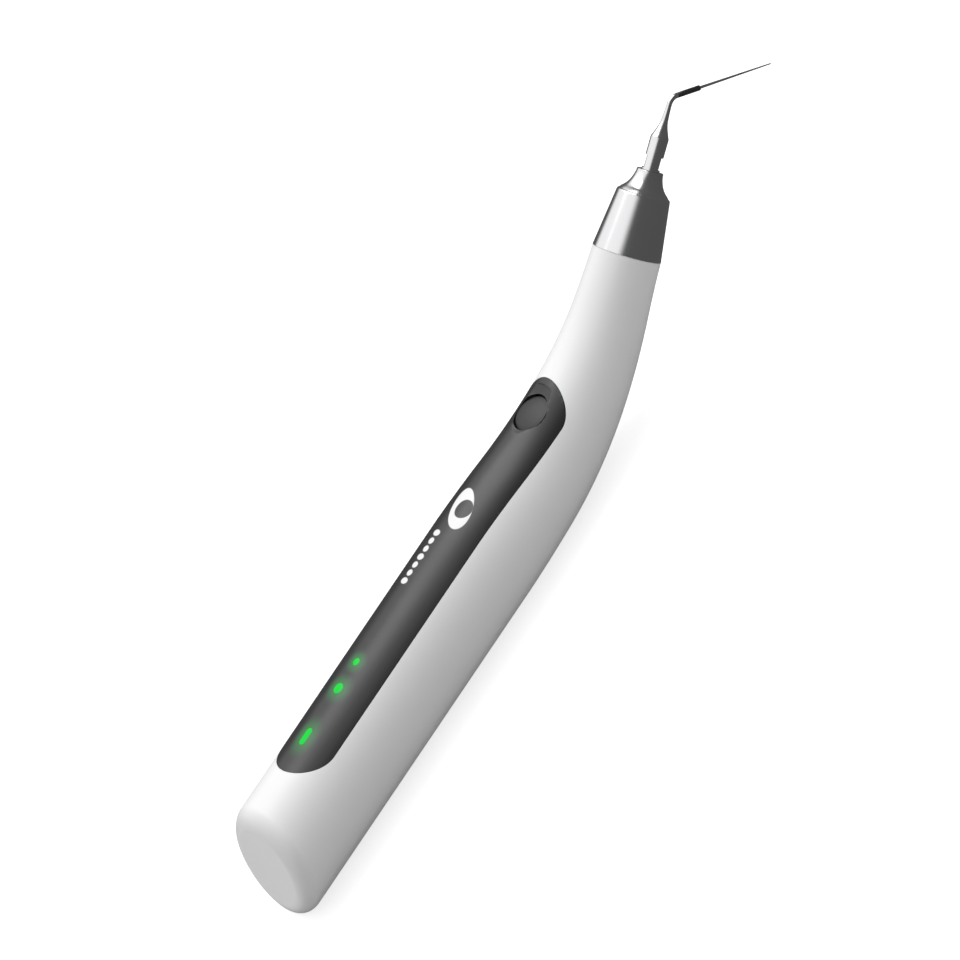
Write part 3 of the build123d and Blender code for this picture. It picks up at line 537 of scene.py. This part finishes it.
# Faint uneven tone, as handling and light dust leave on any surface
tone_group, ins, outs = new_group(
    "uneven tone", [("Colour", COLOUR, (0.8, 0.8, 0.8, 1)), ("Amount", FLOAT, 0.03)], [("Colour", COLOUR)])
patch = noise(tone_group, 35.0, 5.0)
fall = calc(tone_group, "MULTIPLY", ins.outputs["Amount"], -1.0)
shade = calc(tone_group, "MULTIPLY_ADD", patch, fall, 1.0)
mix = add(tone_group, "ShaderNodeMix", data_type="RGBA", blend_type="MULTIPLY")
mix.inputs["Factor"].default_value = 1.0
tone_group.links.new(ins.outputs["Colour"], mix.inputs["A"])
grey = add(tone_group, "ShaderNodeCombineColor")
for channel in ("Red", "Green", "Blue"):
    tone_group.links.new(shade, grey.inputs[channel])
tone_group.links.new(grey.outputs["Color"], mix.inputs["B"])
tone_group.links.new(mix.outputs["Result"], outs.inputs["Colour"])


def material(name, colour, roughness, metallic=0.0, drift=0.05, scale=2500.0, bump=0.05, uneven=0.04):
    """A procedural material; returns it with its shader and its tone node."""
    made = bpy.data.materials.new(name)
    made.use_nodes = True
    tree = made.node_tree
    shader = tree.nodes["Principled BSDF"]
    grain = add(tree, "ShaderNodeGroup", node_tree=surface_group)
    grain.inputs["Roughness"].default_value = roughness
    grain.inputs["Drift"].default_value = drift
    grain.inputs["Scale"].default_value = scale
    grain.inputs["Bump"].default_value = bump
    tree.links.new(grain.outputs["Roughness"], shader.inputs["Roughness"])
    tree.links.new(grain.outputs["Normal"], shader.inputs["Normal"])
    tone = add(tree, "ShaderNodeGroup", node_tree=tone_group)
    tone.inputs["Colour"].default_value = (*colour, 1)
    tone.inputs["Amount"].default_value = uneven
    tree.links.new(tone.outputs["Colour"], shader.inputs["Base Color"])
    shader.inputs["Metallic"].default_value = metallic
    return made, shader, tone


# Printed marks of the panel: an oval with a dark lens in it, and a row of plain dots beside it; also a painted
# glow, a soft pool of green window light painted round each window
print_and_glow_group, ins, outs = new_group("print and painted glow", [], [("Mask", FLOAT), ("Painted Glow", FLOAT)])
spot = add(print_and_glow_group, "ShaderNodeTexCoord")
split = add(print_and_glow_group, "ShaderNodeSeparateXYZ")
print_and_glow_group.links.new(spot.outputs["Object"], split.inputs["Vector"])


def ellipse(middle, half_sizes, turn, softness):
    """1 inside an ellipse on the panel's plan and 0 outside, fading over softness of its size."""
    cos, sin = math.cos(turn), math.sin(turn)
    across = calc(print_and_glow_group, "SUBTRACT", split.outputs["X"], middle[0] * MM)
    beside = calc(print_and_glow_group, "SUBTRACT", split.outputs["Y"], middle[1] * MM)
    along = calc(print_and_glow_group, "MULTIPLY_ADD", across, cos / (half_sizes[0] * MM),
                 calc(print_and_glow_group, "MULTIPLY", beside, sin / (half_sizes[0] * MM)))
    wide = calc(print_and_glow_group, "MULTIPLY_ADD", across, -sin / (half_sizes[1] * MM),
                calc(print_and_glow_group, "MULTIPLY", beside, cos / (half_sizes[1] * MM)))
    size = calc(print_and_glow_group, "MULTIPLY_ADD", along, along, calc(print_and_glow_group, "MULTIPLY", wide, wide))
    reach = calc(print_and_glow_group, "SQRT", size)
    return smooth_step(print_and_glow_group, reach, 1 - softness, 1 + softness, 1.0, 0.0)


oval = ellipse((66.3, -0.1), (5.0, 3.0), math.radians(26), 0.03)
lens = ellipse((66.4, -0.9), (2.2, 2.3), math.radians(26), 0.05)
mark = calc(print_and_glow_group, "MULTIPLY", oval, calc(print_and_glow_group, "SUBTRACT", 1.0, lens))
for index in range(7):
    dot = ellipse((47.5 + 2.0 * index, 2.1), (0.75, 0.9 if index % 3 else 1.15), 0.0, 0.15)
    mark = calc(print_and_glow_group, "MAXIMUM", mark, dot)
print_and_glow_group.links.new(mark, outs.inputs["Mask"])
# Painted glow: a soft halo of green light painted round each window, standing in for the light the windows cast
# on the panel
painted_glow = 0.0
for (x, reach, radius), spread in zip(WINDOWS.values(), (1.4, 1.2, 1.05)):
    painted_halo = ellipse((x, 0.0), (reach + radius + spread, radius + spread), 0.0, 0.75)
    painted_glow = calc(print_and_glow_group, "MAXIMUM", painted_glow, painted_halo)
print_and_glow_group.links.new(painted_glow, outs.inputs["Painted Glow"])

# ------------------------------------------------------------------ materials
white = material("white casing plastic", (0.86, 0.86, 0.87), 0.36, bump=0.03, uneven=0.02)[0]
rubber = material("button rubber", (0.012, 0.012, 0.013), 0.5, scale=4000.0, bump=0.2, uneven=0.1)[0]
steel = material("polished steel", (0.72, 0.72, 0.73), 0.2, 1.0, bump=0.04, uneven=0.06)[0]
dark_steel = material("darkened ferrule", (0.09, 0.09, 0.095), 0.3, 0.8, bump=0.1, uneven=0.2)[0]

# The panel takes the printed mark as colour, and a painted glow of green window light round each window as
# emission
charcoal, shader, tone = material(
    "charcoal panel", (0.02, 0.02, 0.021), 0.34, drift=0.06, bump=0.05, uneven=0.15)
tree = charcoal.node_tree
print_and_glow = add(tree, "ShaderNodeGroup", node_tree=print_and_glow_group)
ink = add(tree, "ShaderNodeMix", data_type="RGBA")
tree.links.new(print_and_glow.outputs["Mask"], ink.inputs["Factor"])
tree.links.new(tone.outputs["Colour"], ink.inputs["A"])
ink.inputs["B"].default_value = (0.8, 0.8, 0.8, 1)
tree.links.new(ink.outputs["Result"], shader.inputs["Base Color"])
# Painted light: the green glow round the windows is emission painted on the panel
painted_spill = add(tree, "ShaderNodeMix", data_type="RGBA")
tree.links.new(print_and_glow.outputs["Painted Glow"], painted_spill.inputs["Factor"])
painted_spill.inputs["A"].default_value = (0, 0, 0, 1)
painted_spill.inputs["B"].default_value = (0.0, 0.16, 0.02, 1)
tree.links.new(painted_spill.outputs["Result"], shader.inputs["Emission Color"])
shader.inputs["Emission Strength"].default_value = 1.0

# Finishes of the inner pieces: colour, roughness, metallic
FINISHES = {
    "seal_rubber": ((0.02, 0.02, 0.02), 0.6, 0.0),
    "gasket_foam": ((0.03, 0.03, 0.03), 0.9, 0.0),
    "led_package": ((0.85, 0.84, 0.78), 0.4, 0.0),
    "board_green": ((0.01, 0.12, 0.045), 0.35, 0.0),
    "chip_black": ((0.015, 0.015, 0.016), 0.45, 0.0),
    "ferrite": ((0.05, 0.048, 0.047), 0.6, 0.0),
    "copper_wire": ((0.75, 0.3, 0.14), 0.3, 1.0),
    "screw_steel": ((0.45, 0.45, 0.46), 0.3, 1.0),
    "tray_plastic": ((0.06, 0.06, 0.065), 0.55, 0.0),
    "cell_wrap": ((0.02, 0.1, 0.35), 0.3, 0.0),
    "contact_nickel": ((0.62, 0.6, 0.56), 0.25, 1.0),
    "contact_gold": ((0.85, 0.6, 0.22), 0.22, 1.0),
    "steel_turned": ((0.55, 0.55, 0.56), 0.3, 1.0),
    "titanium": ((0.42, 0.4, 0.38), 0.35, 1.0),
    "piezo_ceramic": ((0.5, 0.42, 0.3), 0.6, 0.0),
    "brass_shim": ((0.72, 0.5, 0.2), 0.3, 1.0),
    "sleeve_white": ((0.8, 0.8, 0.78), 0.5, 0.0),
    "lead_red": ((0.5, 0.02, 0.02), 0.45, 0.0),
    "lead_black": ((0.015, 0.015, 0.015), 0.45, 0.0),
}
finishes = {
    "casing_white": white,
    "panel_charcoal": charcoal,
    "button_rubber": rubber,
    "steel_polished": steel,
    "ferrule_dark": dark_steel,
}
for slot_name, (colour, roughness, metallic) in FINISHES.items():
    finishes[slot_name] = material(slot_name.replace("_", " "), colour, roughness, metallic, uneven=0.1)[0]

green = bpy.data.materials.new("lit window")
green.use_nodes = True
tree = green.node_tree
shader = tree.nodes["Principled BSDF"]
grain = add(tree, "ShaderNodeGroup", node_tree=surface_group)
grain.inputs["Roughness"].default_value = 0.2
tree.links.new(grain.outputs["Roughness"], shader.inputs["Roughness"])
shader.inputs["Base Color"].default_value = (0.002, 0.05, 0.01, 1)
shader.inputs["Specular IOR Level"].default_value = 0.1
shader.inputs["Emission Color"].default_value = (0.006, 0.68, 0.045, 1)
shader.inputs["Emission Strength"].default_value = 1.0
finishes["window_green"] = green

# ------------------------------------------------------------------ pieces take their places
pieces = [
    (casing, "casing", ("housing_shell",), "casing_white"),
    (panel, "casing", ("top_panel",), "panel_charcoal"),
    (button, "button", ("power_button",), "button_rubber"),
    (cone, "casing", ("nose_cone",), "steel_polished"),
    (tip, "tip", ("tip_body",), "steel_polished"),
    (ferrule, "tip", ("file_ferrule",), "ferrule_dark"),
    (wire, "tip", ("file_wire",), "steel_polished"),
]
pieces += [(piece, "casing", (node,), "window_green") for piece, node in glow_pieces]
for piece, body, nodes, slot_name in pieces:
    piece.data.materials.clear()
    piece.data.materials.append(finishes[slot_name])
    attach(piece, body)
    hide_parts(*nodes)

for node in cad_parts.values():
    for held in node.material_slots:
        held.material = finishes[held.material.name.split(".")[0]]

# ------------------------------------------------------------------ floor, light, camera
bpy.ops.mesh.primitive_plane_add(size=6.0, location=(0, 0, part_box("housing_shell")[0].z))
floor = bpy.context.object
floor.name = "floor"
pale = bpy.data.materials.new("pale floor")
pale.use_nodes = True
tree = pale.node_tree
shader = tree.nodes["Principled BSDF"]
shader.inputs["Base Color"].default_value = (0.52, 0.52, 0.52, 1)
shader.inputs["Roughness"].default_value = 0.9
shader.inputs["Specular IOR Level"].default_value = 0.0
shader.inputs["Emission Color"].default_value = (1, 1, 1, 1)
seen = add(tree, "ShaderNodeLightPath")
lift = calc(tree, "MULTIPLY", seen.outputs["Is Camera Ray"], 0.75)
tree.links.new(lift, shader.inputs["Emission Strength"])
floor.data.materials.append(pale)
floor.visible_glossy = False

RIGHT = Vector((0.555, -0.581, -0.594))
UP = Vector((0.820, 0.263, 0.508))
BACK = Vector((-0.139, -0.769, 0.623))
AIM = Vector((0.0726, -0.0043, 0.0154))


KEY_DIRECTION = Vector((0.45, 0.4, 1.0)).normalized()
KEY_DISTANCE = 0.8
key_data = bpy.data.lights.new("key", "AREA")
key_data.shape = "RECTANGLE"
key_data.size = 0.8
key_data.size_y = 0.6
key_data.energy = 4.0
key = bpy.data.objects.new("key", key_data)
bpy.context.scene.collection.objects.link(key)
key.location = AIM + KEY_DIRECTION * KEY_DISTANCE
key.rotation_euler = KEY_DIRECTION.to_track_quat("Z", "Y").to_euler()

world = bpy.data.worlds.new("studio")
bpy.context.scene.world = world
world.use_nodes = True
studio = world.node_tree
sky = studio.nodes["Background"]
where = add(studio, "ShaderNodeTexCoord")


def towards(direction):
    """How far the sky at a point lies towards a direction, from -1 to 1."""
    dot = add(studio, "ShaderNodeVectorMath", operation="DOT_PRODUCT")
    dot.inputs[1].default_value = tuple(direction)
    studio.links.new(where.outputs["Generated"], dot.inputs[0])
    return dot.outputs["Value"]


# Reflections see one bright panel to the left, which ends before it gets behind the object except low down.
# Matt surfaces see a pale sky that is brightest above.
left = smooth_step(studio, towards(-RIGHT), 0.12, 0.5)
near = smooth_step(studio, towards(BACK), -0.72, -0.45)
low = smooth_step(studio, towards(UP), -0.35, -0.1, 1.0, 0.0)
panel_light = calc(studio, "MULTIPLY", left, calc(studio, "MAXIMUM", near, low))
gloss_level = calc(studio, "MULTIPLY_ADD", panel_light, 1.1, 0.1)
above = calc(studio, "MAXIMUM", towards((0.5, 0.55, 0.67)), 0.0)
matt_level = calc(studio, "MULTIPLY_ADD", above, 0.75, 0.36)
ray = add(studio, "ShaderNodeLightPath")
blend = add(studio, "ShaderNodeMix", data_type="FLOAT")
studio.links.new(ray.outputs["Is Glossy Ray"], blend.inputs["Factor"])
studio.links.new(matt_level, blend.inputs["A"])
studio.links.new(gloss_level, blend.inputs["B"])
studio.links.new(blend.outputs["Result"], sky.inputs["Strength"])
sky.inputs["Color"].default_value = (1, 1, 1, 1)

CAMERA_DISTANCE = 2.19
camera_data = bpy.data.cameras.new("camera")
camera = bpy.data.objects.new("camera", camera_data)
bpy.context.scene.collection.objects.link(camera)
camera_data.lens = 400
camera_data.sensor_width = 36
camera_data.clip_start = 0.01
right = RIGHT.normalized()
back = BACK.normalized()
up = back.cross(right).normalized()
right = up.cross(back)
turn = Matrix((right, up, back)).transposed().to_4x4()
camera.matrix_world = Matrix.Translation(AIM + back * CAMERA_DISTANCE) @ turn
bpy.context.scene.camera = camera
bpy.context.scene.view_settings.view_transform = "Standard"

bpy.context.view_layer.update()
